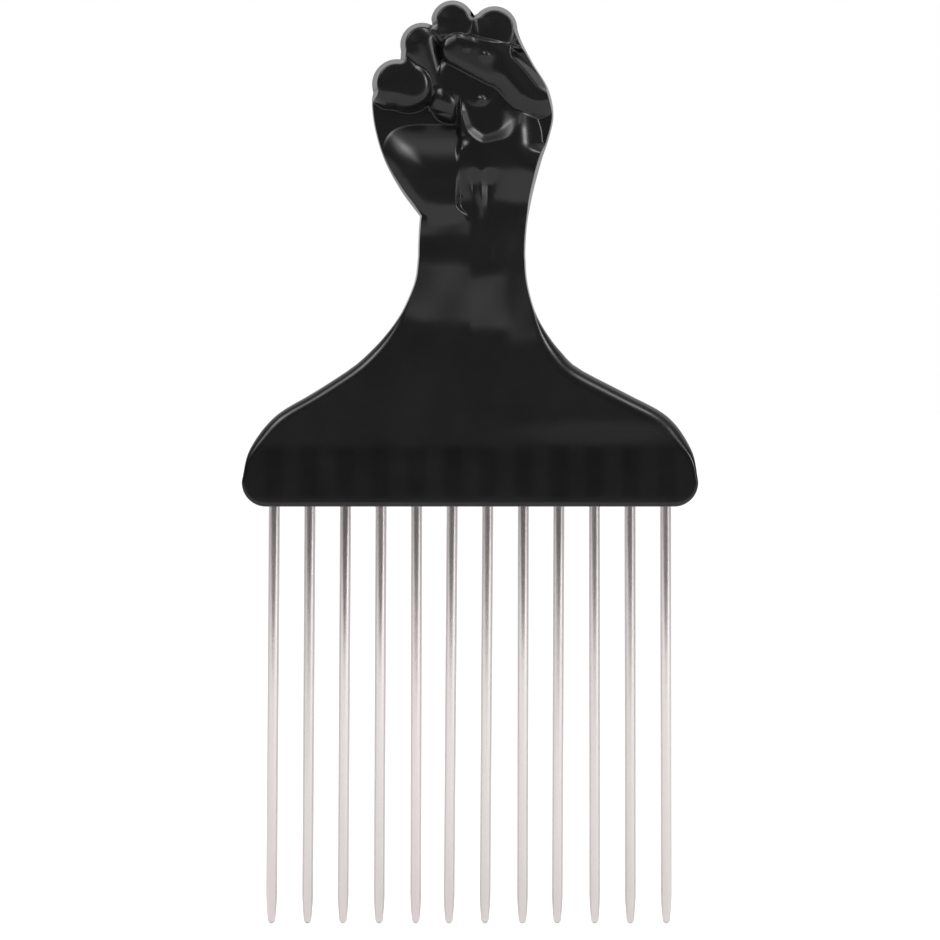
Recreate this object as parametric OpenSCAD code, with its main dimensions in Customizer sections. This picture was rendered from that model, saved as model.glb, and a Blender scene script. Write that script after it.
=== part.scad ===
// Hand comb with a row of long steel tines in a moulded handle.
// The handle rises from a wide flat base through a waisted neck to a raised fist.
// Millimetres. Z is up, the palm side of the fist faces -Y, and the origin is in
// the middle of the neck's waist, where the comb is held.

/* [Tines] */
// Number of tines in the row
tine_count = 12; // [8:1:14]
// Distance from one tine to the next
tine_pitch = 6.35; // [5.4:0.05:7]
// Diameter of a tine
tine_d = 2.0; // [1.6:0.1:2.2]
// Length of a tine below the handle
tine_free = 75; // [55:1:95]
// Length of a tine inside the handle
tine_seat = 11; // [8:0.5:16]
// Length of the taper at the tip
tip_taper = 5.6; // [3:0.2:9]
// Diameter of the round nose at the tip
tip_d = 1.4; // [1:0.1:1.6]
// Gap between a tine and its socket
seat_gap = 0.02; // [0.01:0.01:0.05]
// Number of rings rolled into the seated end of a tine
ring_count = 3; // [1:1:4]
// Length of a ring
ring_len = 1; // [0.6:0.1:1.4]
// Depth of a ring
ring_depth = 0.15; // [0.1:0.05:0.25]

/* [Base] */
// Distance from the axis of the last tine to the end of the base
base_margin = 5.725; // [4.5:0.025:8]
// Height from the bottom of the base to the neck's waist
base_drop = 44.6; // [40:0.2:52]
// Thickness of the base plate
base_t = 7.2; // [6.4:0.1:9]
// Radius of the two bottom corners
corner_r = 4.3; // [3:0.1:6]
// Width of the rounded edge of the base plate
edge_r = 1.9; // [1.2:0.1:2.2]

/* [Neck] */
// Width of the neck at its waist
neck_w = 19.1; // [17:0.1:22]
// Thickness of the neck
neck_t = 9.3; // [8:0.1:11]
// How far the waist lies to the thumb's side of the tine row's middle
neck_shift = 0.3; // [0:0.1:0.8]
// Height from the waist to the crease under the fist
crease_rise = 7; // [5:0.2:10]

/* [Fist] */
// Width of the fist
fist_w = 32.3; // [30:0.1:35]
// Height of the fist above the crease
fist_h = 38.2; // [35:0.2:41]
// Height of the palm side above the parting plane
palm_t = 6.9; // [6:0.1:8.5]
// Height of the back of the hand above the parting plane
back_t = 6.6; // [6:0.1:8.5]
// Half height of the straight band around the fist at the parting plane
band_t = 0.4; // [0.3:0.05:0.7]
// Height of the drafted wall around the fist
shoulder_h = 4.8; // [4.4:0.1:5.2]
// Draft of that wall, in degrees
wall_draft = 12; // [9:1:18]
// Radius that softens the creases between fingers
crease_r = 0.15; // [0.1:0.01:0.3]

/* [Hidden] */
function tine_name(i) = str("tine_", i < 10 ? "0" : "", i);

// Heights from the origin: under the fist, the bottom of the base and the tips of the
// tines. The base is as wide as the row of tines needs.
crease_z = crease_rise;
bottom_z = -base_drop;
tip_z = bottom_z - tine_free;
base_w = (tine_count - 1) * tine_pitch + 2 * base_margin;

// The two ends of the slope from the flat plate to the neck's thickness: on the little
// finger's side of the palm, in the middle and on the thumb's side, then on the back of
// the hand.
slope_foot_shares = [0.272, 0.305, 0.36, 0.305];
slope_top_shares = [0.024, 0.076, 0.264, 0.176];
slope_foot = -base_drop * max(slope_foot_shares);

// How far a cut runs past the face that it opens.
overrun = 0.5;
facet_count = 48;

// Grid of the moulded surface: columns across, and rows from the bottom to the
// knuckles. Rows crowd towards the bottom edge, and columns towards the sides of the
// base. The rows near the bottom bend to its rounded corners.
col_count = 56;
base_row_count = 14;
neck_row_count = 12;
fist_row_count = 50;
row_count = base_row_count + neck_row_count + fist_row_count;
base_rows_share = 0.62;
row_crowding_share = 0.6;
column_crowding_share = 0.7;
corner_row_count = 6;
top_bend_share = 0.2;
corner_count = 4;
top_start_angle = 178;
top_end_angle = 50;
arc_count = 16;
curve_count = 60;
search_count = 22;

// How many stretches of each outline are searched for the one nearest to a point.
side_search_count = 5;
top_search_count = 7;
bottom_search_count = 3;

// Side curves of the base: distance out from the waist to the base plate's end as a
// share, and height above the bottom as a share of the height up to the waist.
left_flare_shares = [
    [1, 0.102], [0.953, 0.2305], [0.812, 0.359], [0.59, 0.455], [0.38, 0.551], [0.275, 0.615],
    [0.189, 0.679], [0.12, 0.7435], [0.07, 0.8075], [0.017, 0.904], [0, 1]
];
right_flare_shares = [
    [1, 0.102], [0.959, 0.2305], [0.823, 0.359], [0.571, 0.455], [0.307, 0.551], [0.209, 0.615],
    [0.135, 0.679], [0.079, 0.7435], [0.042, 0.8075], [0.01, 0.904], [0, 1]
];

// Side curves of the fist: shares of its width from the tine row's middle, and of its
// height from the crease.
left_fist_shares = [[-0.2755, 0], [-0.378, 0.117], [-0.469, 0.258], [-0.521, 0.398], [-0.54, 0.515]];
right_fist_shares = [
    [0.321, 0], [0.349, 0.117], [0.3935, 0.258], [0.437, 0.37], [0.4595, 0.475], [0.429, 0.595],
    [0.349, 0.707], [0.285, 0.81]
];

// Knuckles along the top, from the little finger: centre x and z and radius as shares
// of the fist's width, height and width, then the two end angles of the arc.
knuckle_shares = [
    [-0.401, 0.6136, 0.1378, 198, 82],
    [-0.263, 0.797, 0.1206, 195, 62],
    [-0.0963, 0.9026, 0.1179, 172, 17],
    [0.1345, 0.869, 0.126, 138, 0]
];

// Limbs of the palm side. Each runs from one point to another with its own radius at
// both ends: x, z, x, z, radius, radius, height of the rim, height of the rim, crown
// above the rim, crown above the rim, and how flat its top is. Positions are shares of
// the fist's width and height, radii of its width, and heights of palm_t.
finger_shares = [
    [-0.097, 0.92, -0.094, 0.893, 0.122, 0.122, 0.67, 0.67, 0.13, 0.13, 5],
    [0.127, 0.884, 0.122, 0.846, 0.125, 0.125, 0.67, 0.67, 0.13, 0.13, 5],
    [-0.293, 0.8, -0.194, 0.603, 0.105, 0.066, 0.66, 0.43, 0.14, 0.155, 3]
];
little_finger_shares = [-0.398, 0.631, -0.343, 0.612, 0.144, 0.122, 0.65, 0.65, 0.13, 0.13, 5];
thumb_shares = [
    [-0.066, 0.771, 0.144, 0.706, 0.094, 0.133, 0.635, 0.65, 0.21, 0.22, 8],
    [0.21, 0.687, 0.321, 0.64, 0.11, 0.144, 0.725, 0.765, 0.155, 0.12, 2.8]
];
hollow_shares = [-0.066, 0.64, 0.044, 0.603, 0.133, 0.133, 0.505, 0.505, 0.13, 0.13, 6];
// Slopes of the little finger into the palm and of the thumb's first joint, and the
// height up the fist where the little finger turns.
little_fall_share = 0.3;
little_turn_share = 0.579;
thumb_fall_share = 0.22;
// Limbs fall away outside their radius up to this many times it.
lens_reach = 1.6;

// Tip of the ring finger: centre x and z, half length, half width, turn in degrees,
// height of the rim, crown, and how flat its top is.
ring_tip_shares = [-0.16, 0.565, 0.083, 0.055, -66, 0.49, 0.155, 2];

// Outer palm: place of its top, height there, how much it bends down towards the little
// finger's side, the thumb's side and the fingers, how square its corner there is, and its
// slope towards the wrist. Then the height where it falls to the wrist, and the width and
// slope of its rim, which starts between two heights.
outer_palm_shares = [-0.21, 0.21, 0.88];
outer_bend_shares = [5.6, 1.7, 8.9];
outer_square = 3;
outer_slope_share = 0.17;
heel_share = 0.037;
heel_fall_share = 0.35;
outer_rim_shares = [0.05, 0.4];
rim_fade_shares = [0.21, 0.3];

// Ball of the thumb: its left flank between two places, and the flank's slope. Then the
// dish in it: centre, half width, half height and height of its floor, the slope of its
// wall below and beside, and between which heights one passes into the other. Then
// where the ball falls towards the thumb's side, and how steeply.
flank_shares = [[-0.05, 0.509], [0.022, 0.369]];
flank_fall_share = 0.74;
dish_shares = [0.1, 0.49, 0.072, 0.094, 0.62];
dish_wall_shares = [0.6, 1.4];
dish_turn_shares = [0.415, 0.49];
ball_edge_share = 0.293;
ball_fall_share = 0.9;
// Heights up the fist between which the left flank and the right one fade.
flank_fade_shares = [0.303, 0.36];
ball_fade_shares = [0.285, 0.33];
// How softly a form falls away, as a share of the fist's width.
fall_share = 0.022;

// Ledge beside the thumb's first joint: the edge above it, its height, and the slope of
// the wall between them.
ledge_shares = [[0.199, 0.817], [0.42, 0.612], [0.476, 0.5]];
ledge_height_share = 0.44;
ledge_wall_share = 2.4;
ledge_fade_shares = [0.5, 0.6, 0.77, 0.81];

// Back of the hand: the bones from the wrist to each knuckle, and the knuckles.
bone_shares = [
    [0.02, 0.1, 0.13, 0.78, 0.16, 0.14, 0, 0.15, 0.83, 0.83, 2.2],
    [-0.03, 0.1, -0.08, 0.8, 0.16, 0.135, 0, 0.17, 0.83, 0.83, 2.2],
    [-0.08, 0.1, -0.25, 0.7, 0.16, 0.13, 0, 0.12, 0.8, 0.8, 2.2],
    [-0.13, 0.1, -0.38, 0.54, 0.16, 0.13, 0, 0.05, 0.76, 0.76, 2.2]
];
hand_shares = [
    [-0.03, 0.4, 0.5, 0.46, -80, 0, 0.82, 3],
    [0.3, 0.42, 0.3, 0.17, -60, 0, 0.72, 2.6]
];

// Skin under these forms, on the little finger's side, in the middle and on the thumb's
// side: height up the fist, and height above the parting plane as a share of palm_t.
skin_shares = [
    [[-0.1, 0.675], [0.008, 0.745], [0.125, 0.415], [1, 0.415]],
    [[0.065, 0.71], [0.228, 0.855], [0.369, 0.855], [0.528, 0.64], [0.585, 0.635], [0.62, 0.57],
        [1, 0.415]],
    [[0.065, 0.71], [0.219, 0.88], [0.313, 0.905], [0.406, 0.88], [0.509, 0.52], [1, 0.415]]
];
// Where one of them passes into the next across the fist, and how much further over the
// first passage lies below the palm, between two heights.
join_shares = [[-0.078, -0.034], [0.18, 0.24]];
join_step_share = 0.066;
join_fade_shares = [-0.024, 0.055];
// Skin of the back: height up the fist, and height as a share of back_t. Its creases are
// softer than those of the palm side by this factor.
back_crease_share = 2;
back_skin_shares = [[0.1, 0.7], [0.265, 0.72], [1, 0.5]];

// Height of the moulding above the parting plane, from the bottom up, as [z, height].
function skin_rule(k, shares, full) = concat(
    [[bottom_z, base_t / 2], [-base_drop * slope_foot_shares[k], base_t / 2]],
    [[-base_drop * slope_top_shares[k], neck_t / 2]],
    [for (q = shares) [crease_z + fist_h * q[0], full * q[1]]]
);
palm_skins = [for (k = [0:2]) skin_rule(k, skin_shares[k], palm_t)];
back_skin = skin_rule(3, back_skin_shares, back_t);

// The drafted wall of the fist passes into the rounded edge of the base between two
// heights of the neck, and that edge grows from a share of edge_r between two more. It
// is wider on the thumb's side, between two places across, and sharp at the bottom. The
// wall is steeper at the neck.
neck_wall_share = 1.5;
neck_wall_end_shares = [-0.04, 0.08];
wall_end_shares = [0.117, 0.317];
edge_growth_shares = [0.176, 0.417];
neck_edge_share = 0.37;
right_edge_share = 0.5;
right_place_shares = [0.022, 0.198];
bottom_edge_share = 0.33;
bottom_edge_top_shares = [0.143, 0.303];
// Slope of the forms' cap above the wall, and how much higher it is over the outer palm,
// between two heights and two places across. Then how much squarer than a circle the
// section of the rounded edge is.
cap_slope_share = 0.25;
outer_cap_share = 0.08;
outer_cap_top_shares = [0.22, 0.31];
outer_cap_side_shares = [-0.22, -0.055];
edge_square_share = 0.2;
wall_slope = 1 / tan(wall_draft);

function lerp(a, b, t) = a + (b - a) * t;
function clamp(t) = min(1, max(0, t));
function total(v) = v * [for (x = v) 1];
function soft_max(v, k) = let (m = max(v)) m + k * ln(total([for (x = v) exp((x - m) / k)]));
function soft_min(a, b, k) = -soft_max([-a, -b], k);
function smooth(x, low, high) = let (t = clamp((x - low) / (high - low))) t * t * (3 - 2 * t);
// Drop that starts softly where d passes zero.
function fall(d, slope) =
    let (w = fall_share * fist_w)
    slope * w * ln(1 + exp(d / w));

// Value of a table at z: each row is [z, values ...].
function rule_at(table, z, column) =
    let (n = len(table))
    z <= table[0][0] ? table[0][column] :
    z >= table[n - 1][0] ? table[n - 1][column] :
    let (k = [for (i = [0:n - 2]) if (table[i + 1][0] > z) i][0])
    lerp(table[k][column], table[k + 1][column], (z - table[k][0]) / (table[k + 1][0] - table[k][0]));

// Smooth curve through control points, at t from 0 to 1.
function curve_at(p, t) =
    let (
        n = len(p) - 1,
        s = clamp(t) * n,
        k = min(floor(s), n - 1),
        f = s - k,
        b = p[k],
        c = p[k + 1],
        a = k > 0 ? p[k - 1] : 2 * b - c,
        d = k < n - 1 ? p[k + 2] : 2 * c - b
    )
    (2 * b + (c - a) * f + (2 * a - 5 * b + 4 * c - d) * f * f + (3 * b - a - 3 * c + d) * f * f * f) / 2;

function arc_points(c, r, a0, a1, n) =
    [for (i = [0:n])
        let (a = lerp(a0, a1, i / n))
        c + r * [cos(a), sin(a)]];

// Points of an outline spread evenly along its length.
function lengths(p) =
    [for (i = 0, s = 0; i < len(p); i = i + 1, s = s + (i < len(p) ? norm(p[i] - p[i - 1]) : 0)) s];
function along(p, s, t) =
    let (
        want = t * s[len(s) - 1],
        k = min([for (i = [1:len(s) - 1]) if (s[i] >= want || i == len(s) - 1) i]),
        f = (want - s[k - 1]) / (s[k] - s[k - 1])
    )
    lerp(p[k - 1], p[k], clamp(f));
function spread(p, n) = let (s = lengths(p)) [for (i = [0:n]) along(p, s, i / n)];

// Control points of the four sides, as [x, z].
function flare(shares, side) =
    let (waist = side * neck_w / 2 + neck_shift, end = side * base_w / 2)
    [for (q = shares) [lerp(waist, end, q[0]), bottom_z + base_drop * q[1]]];
function fist_place(q) = [q[0] * fist_w, crease_z + q[1] * fist_h];
function fist_points(shares) = [for (q = shares) fist_place(q)];
function knuckle_arc(q, a0, a1) = arc_points(fist_place(q), q[2] * fist_w, a0, a1, arc_count);
function corner(side, a0, a1) =
    let (c = [side * (base_w / 2 - corner_r), bottom_z + corner_r])
    [for (i = [0:corner_count])
        let (a = lerp(a0, a1, i / corner_count))
        c + corner_r * [side * cos(a), -sin(a)]];

base_rows_top = bottom_z + base_drop * base_rows_share;
function side_z(j) =
    j <= base_row_count ? lerp(bottom_z, base_rows_top, pow(j / base_row_count, 1 + row_crowding_share)) :
    lerp(base_rows_top, crease_z, (j - base_row_count) / neck_row_count);

// Place along a curve that is at height z, and the point of a base or neck side there.
function find_t(p, z, lo, hi, n) =
    n == 0 ? (lo + hi) / 2 :
    let (mid = (lo + hi) / 2)
    curve_at(p, mid)[1] < z ? find_t(p, z, mid, hi, n - 1) : find_t(p, z, lo, mid, n - 1);
function low_side(side, flare_p, crease_p, z) =
    z < bottom_z + corner_r ?
        let (drop = clamp((bottom_z + corner_r - z) / corner_r))
        [side * (base_w / 2 - corner_r + corner_r * sqrt(1 - drop * drop)), z] :
    z < flare_p[0][1] ? [side * base_w / 2, z] :
    z <= 0 ? [curve_at(flare_p, find_t(flare_p, z, 0, 1, search_count))[0], z] :
    let (waist = flare_p[len(flare_p) - 1][0], t = z / crease_z)
    [lerp(waist, crease_p[0], t * t), z];

// The side starts half way round the bottom corner, with its first rows spread out.
corner_drop = corner_r * (1 - cos(45));
function side_start(z) = max(z, bottom_z + corner_drop + (z - bottom_z) / corner_count);
function side_points(side, flare_shares, fist_shares, last_arc) =
    let (
        flare_p = flare(flare_shares, side),
        fist_p = concat(fist_points(fist_shares), [last_arc[0]])
    )
    concat(
        [for (j = [0:base_row_count + neck_row_count - 1])
            low_side(side, flare_p, fist_p[0], side_start(side_z(j)))],
        spread(concat(
            [for (i = [0:curve_count - 1]) curve_at(fist_p, i / curve_count)],
            last_arc
        ), fist_row_count)
    );

function top_points() =
    let (q = knuckle_shares)
    spread(concat(
        knuckle_arc(q[0], top_start_angle, q[0][4]), knuckle_arc(q[1], q[1][3], q[1][4]),
        knuckle_arc(q[2], q[2][3], q[2][4]), knuckle_arc(q[3], q[3][3], top_end_angle)
    ), col_count);
function bottom_points() = spread(concat(corner(-1, 45, 90), corner(1, 90, 45)), col_count);

// Distance from p to a stretch of an outline around its point number k.
function to_line(p, a, b) =
    let (ab = b - a, t = a == b ? 0 : clamp(((p - a) * ab) / (ab * ab)))
    norm(p - a - t * ab);
function to_side(p, side, k, reach) =
    min([for (i = [max(0, k - reach):min(len(side) - 2, k + reach)]) to_line(p, side[i], side[i + 1])]);

// Section of a rounded form: 1 in the middle and 0 at its edge, squarer as n grows. A
// lens goes on falling outside its edge.
function dome(d, n) = pow(1 - pow(d, n), 1 / n);
function lens(d, n) = 1 - pow(min(d, lens_reach), n);

// Place of a point along a limb's axis, from 0 to 1, and its distance as a share of the
// limb's radius there. Then its place in a mound.
function limb_place(p, q) =
    let (
        a = fist_place([q[0], q[1]]),
        ab = fist_place([q[2], q[3]]) - a,
        t = clamp(((p - a) * ab) / (ab * ab))
    )
    [t, norm(p - a - t * ab) / (lerp(q[4], q[5], t) * fist_w)];
function mound_place(p, q) =
    let (
        v = (p - fist_place([q[0], q[1]])) / fist_w,
        long_way = v[0] * cos(q[4]) + v[1] * sin(q[4]),
        short_way = v[1] * cos(q[4]) - v[0] * sin(q[4])
    )
    norm([long_way / q[2], short_way / q[3]]);

// Heights of a limb of the palm side, and of a limb and a mound of the back.
function lens_limb(p, q) =
    let (place = limb_place(p, q), t = place[0])
    palm_t * (lerp(q[6], q[7], t) + lerp(q[8], q[9], t) * lens(place[1], q[10]));
function back_limb(p, q) =
    let (place = limb_place(p, q), t = place[0])
    place[1] >= 1 ? -back_t : back_t * (lerp(q[6], q[7], t) + lerp(q[8], q[9], t) * dome(place[1], q[10]));
function back_mound(p, q) =
    let (d = mound_place(p, q))
    d >= 1 ? -back_t : back_t * (q[5] + q[6] * dome(d, q[7]));

function up_fist(p) = (p[1] - crease_z) / fist_h;
function little_finger(p) =
    lens_limb(p, little_finger_shares) - fall((little_turn_share - up_fist(p)) * fist_h, little_fall_share);
function ring_tip(p) =
    let (q = ring_tip_shares)
    palm_t * (q[5] + q[6] * lens(mound_place(p, q), q[7]));
function first_joint(p) =
    let (q = thumb_shares[0], middle = (q[1] + q[3]) / 2)
    lens_limb(p, q) + (up_fist(p) - middle) * fist_h * thumb_fall_share;

function outer_palm(p, d) =
    let (
        q = outer_palm_shares,
        x = p[0] / fist_w - q[0],
        z = up_fist(p) - q[1],
        out = abs(x) * sqrt(outer_bend_shares[x < 0 ? 0 : 1]),
        up = max(z, 0) * sqrt(outer_bend_shares[2]),
        bend = pow(pow(out, outer_square) + pow(up, outer_square), 2 / outer_square),
        rim = fall(outer_rim_shares[0] * fist_w - d, outer_rim_shares[1]),
        rim_fade = 1 - smooth(up_fist(p), rim_fade_shares[0], rim_fade_shares[1])
    )
    palm_t * (q[2] - bend + min(z, 0) * outer_slope_share)
    - fall((heel_share - up_fist(p)) * fist_h, heel_fall_share) - rim * rim_fade;

function thumb_ball(p) =
    let (
        a = fist_place(flank_shares[0]),
        b = fist_place(flank_shares[1]),
        along = clamp((p[1] - a[1]) / (b[1] - a[1])),
        fade = smooth(up_fist(p), flank_fade_shares[0], flank_fade_shares[1]),
        flank = fall(lerp(a[0], b[0], along) - p[0], flank_fall_share) * fade,
        ball = rule_at(palm_skins[1], p[1], 1) - flank,
        turn = smooth(up_fist(p), dish_turn_shares[0], dish_turn_shares[1]),
        wall = lerp(dish_wall_shares[0], dish_wall_shares[1], turn),
        q = dish_shares,
        v = (p - fist_place([q[0], q[1]])) / fist_w,
        out = max(norm([v[0] / q[2], v[1] / q[3]]) - 1, 0),
        bowl = palm_t * q[4] + wall * out * (q[2] + q[3]) / 2 * fist_w
    )
    soft_min(ball, bowl, crease_r);

function palm_skin(p, d) =
    let (
        left = soft_max([outer_palm(p, d), rule_at(palm_skins[0], p[1], 1)], crease_r),
        fade = smooth(up_fist(p), ball_fade_shares[0], ball_fade_shares[1]),
        right = rule_at(palm_skins[2], p[1], 1)
            - fall(p[0] - ball_edge_share * fist_w, ball_fall_share) * fade,
        step = join_step_share * (1 - smooth(up_fist(p), join_fade_shares[0], join_fade_shares[1])),
        x = p[0] / fist_w,
        inner = lerp(left, thumb_ball(p), smooth(x - step, join_shares[0][0], join_shares[0][1]))
    )
    lerp(inner, right, smooth(x, join_shares[1][0], join_shares[1][1]));

// Wall above the ledge: distance inside the thumb's edge, which turns at one point.
function inside_line(p, a, b) = cross(b - a, a - p) / norm(b - a);
function ledge_wall(p) =
    let (
        q = fist_points(ledge_shares),
        inside = max(0, min(inside_line(p, q[0], q[1]), inside_line(p, q[1], q[2]))),
        f = ledge_fade_shares,
        beside = smooth(up_fist(p), f[0], f[1]) * (1 - smooth(up_fist(p), f[2], f[3]))
            * smooth(p[0] / fist_w, ledge_shares[0][0] - fall_share, ledge_shares[0][0])
    )
    palm_t * (ledge_height_share + 1 - beside) + ledge_wall_share * inside;

function palm_height(p, d) =
    p[1] < slope_foot ? base_t / 2 :
    soft_min(
        soft_max(concat(
            [for (q = finger_shares) lens_limb(p, q)],
            [little_finger(p), ring_tip(p), first_joint(p), lens_limb(p, thumb_shares[1])],
            [lens_limb(p, hollow_shares), palm_skin(p, d)]
        ), crease_r),
        ledge_wall(p), crease_r
    );
function back_height(p) =
    soft_max(concat(
        [for (q = bone_shares) back_limb(p, q)],
        [for (q = hand_shares) back_mound(p, q)],
        [rule_at(back_skin, p[1], 1)]
    ), crease_r * back_crease_share);

// Radius of the rounded edge at a point of the base or the neck.
function edge_radius(p) =
    let (
        grown = smooth(-p[1] / base_drop, edge_growth_shares[0], edge_growth_shares[1]),
        right = smooth(p[0] / base_w, right_place_shares[0], right_place_shares[1]),
        up = smooth((p[1] - bottom_z) / base_drop, bottom_edge_top_shares[0], bottom_edge_top_shares[1]),
        side_r = edge_r * lerp(neck_edge_share, 1 + right_edge_share * right, grown)
    )
    min(lerp(edge_r * bottom_edge_share, side_r, up), base_t / 2 - band_t);

// Height of the moulding at a distance d inside the outline: the form under a drafted
// wall at the fist and the neck, and rounded down to a straight band at the base.
function surface_height(p, d, palm) =
    let (
        form = palm ? palm_height(p, d) : back_height(p),
        outer = (1 - smooth(up_fist(p), outer_cap_top_shares[0], outer_cap_top_shares[1]))
            * (1 - smooth(p[0] / fist_w, outer_cap_side_shares[0], outer_cap_side_shares[1])),
        cap = shoulder_h + cap_slope_share * d + outer_cap_share * palm_t * outer,
        at_neck = 1 - smooth(up_fist(p), neck_wall_end_shares[0], neck_wall_end_shares[1]),
        steep = wall_slope * (1 + neck_wall_share * at_neck),
        wall = soft_min(band_t + steep * d, cap, crease_r),
        r = edge_radius(p),
        rounded = form - r * (1 - dome(clamp(1 - d / r), 2 + edge_square_share)),
        low = smooth(-p[1] / base_drop, wall_end_shares[0], wall_end_shares[1])
    )
    lerp(soft_min(form, wall, crease_r), rounded, low);

// The plan grid: a ruled net between the two sides, bent to the knuckles and corners.
function plan_grid() =
    let (
        top = top_points(),
        bottom = bottom_points(),
        q = knuckle_shares,
        left_arc = knuckle_arc(q[0], q[0][3], top_start_angle),
        right_arc = knuckle_arc(q[3], q[3][4], top_end_angle),
        left = side_points(-1, left_flare_shares, left_fist_shares, left_arc),
        right = side_points(1, right_flare_shares, right_fist_shares, right_arc),
        low = base_row_count + neck_row_count
    )
    [top, bottom, left, right, [for (j = [0:row_count]) [for (i = [0:col_count])
        let (
            s = i / col_count,
            in_fist = clamp((j - base_row_count) / neck_row_count),
            u = lerp(s - column_crowding_share * sin(360 * s) / (2 * PI), s, in_fist),
            w_top = pow(clamp((j - low) / fist_row_count), 1 + top_bend_share),
            w_bottom = pow(clamp(1 - j / corner_row_count), 2),
            base_p = lerp(left[j], right[j], u),
            top_bend = top[i] - lerp(top[0], top[col_count], s),
            bottom_bend = bottom[i] - lerp(left[0], right[0], u)
        )
        i == 0 ? left[j] : i == col_count ? right[j] : j == 0 ? bottom[i] : j == row_count ? top[i] :
        base_p + w_top * top_bend + w_bottom * bottom_bend
    ]]];

function depth_inside(net, i, j) =
    let (p = net[4][j][i])
    min(
        to_side(p, net[2], j, side_search_count), to_side(p, net[3], j, side_search_count),
        to_side(p, net[0], i, top_search_count), to_side(p, net[1], i, bottom_search_count)
    );

function net_point(net, i, j, palm) =
    let (
        p = net[4][j][i],
        rim = i == 0 || i == col_count || j == 0 || j == row_count,
        h = surface_height(p, rim ? 0 : depth_inside(net, i, j), palm)
    )
    [p[0], palm ? -h : h, p[1]];

// Ring of grid places around the net, from the bottom left corner, each as [i, j].
function ring_places(step) = concat(
    [for (i = [0:step:col_count - step]) [i, 0]],
    [for (j = [0:step:row_count - step]) [col_count, j]],
    [for (i = [col_count:-step:step]) [i, row_count]],
    [for (j = [row_count:-step:step]) [0, j]]
);

module handle_blank() {
    net = plan_grid();
    palm_points = [for (j = [0:row_count]) for (i = [0:col_count]) net_point(net, i, j, true)];
    back_points = [for (j = [0:2:row_count]) for (i = [0:2:col_count]) net_point(net, i, j, false)];
    back_col_count = col_count / 2;
    first_back = len(palm_points);
    function palm_at(i, j) = j * (col_count + 1) + i;
    function back_at(i, j) = first_back + j * (back_col_count + 1) + i;
    function height_at(k) = (k < first_back ? palm_points[k] : back_points[k - first_back])[1];
    function cell(a, b, c, d) =
        abs(height_at(a) - height_at(c)) < abs(height_at(b) - height_at(d)) ?
            [[a, b, c], [a, c, d]] : [[a, b, d], [b, c, d]];
    ring = ring_places(1);
    n = len(ring);
    function palm_ring(k) = palm_at(ring[k % n][0], ring[k % n][1]);
    function back_ring(k) = back_at(ring[k % n][0] / 2, ring[k % n][1] / 2);
    polyhedron(
        concat(palm_points, back_points),
        concat(
            [for (j = [0:row_count - 1]) for (i = [0:col_count - 1])
                each cell(palm_at(i, j), palm_at(i, j + 1), palm_at(i + 1, j + 1), palm_at(i + 1, j))],
            [for (j = [0:row_count / 2 - 1]) for (i = [0:back_col_count - 1])
                each cell(back_at(i, j), back_at(i + 1, j), back_at(i + 1, j + 1), back_at(i, j + 1))],
            [for (k = [0:2:n - 2]) each [
                [palm_ring(k + 1), palm_ring(k + 2), back_ring(k + 2)],
                [palm_ring(k + 1), back_ring(k + 2), back_ring(k)],
                [palm_ring(k + 1), back_ring(k), palm_ring(k)]
            ]]
        ),
        convexity = 8
    );
}

// Half section of a tine, or of its socket when gap is more than zero: round nose,
// taper, shank and the rings that hold it in the moulding.
function nose_points() =
    let (r = tip_d / 2)
    [for (a = [-90:15:0]) [r * cos(a), tip_z + r + r * sin(a)]];
function seat_points(gap) =
    let (r = tine_d / 2 + gap, step = tine_seat / (ring_count + 1))
    concat(
        [for (k = [1:ring_count]) each
            let (z = bottom_z + k * step)
            [
                [r, z - ring_len / 2 + gap],
                [r - ring_depth, z - ring_len / 2 + ring_depth + gap],
                [r - ring_depth, z + ring_len / 2 - ring_depth - gap],
                [r, z + ring_len / 2 - gap]
            ]
        ],
        [[r, bottom_z + tine_seat + gap], [0, bottom_z + tine_seat + gap]]
    );
function tine_x(i) = (i - (tine_count + 1) / 2) * tine_pitch;

module tine(i) {
    color("silver")
    translate([tine_x(i), 0, 0])
    rotate_extrude($fn = facet_count)
    polygon(concat(nose_points(), [[tine_d / 2, tip_z + tip_taper]], seat_points(0)));
}

module socket(i) {
    translate([tine_x(i), 0, 0])
    rotate_extrude($fn = facet_count)
    polygon(concat(
        [[0, bottom_z - overrun], [tine_d / 2 + seat_gap, bottom_z - overrun]],
        seat_points(seat_gap)
    ));
}

module handle() {
    color([0.06, 0.06, 0.07])
    difference() {
        handle_blank();
        for (i = [1:tine_count]) socket(i);
    }
}

handle();
for (i = [1:tine_count]) tine(i);
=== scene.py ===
import math

import bpy
import numpy as np
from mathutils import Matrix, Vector
from mathutils.kdtree import KDTree


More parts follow.
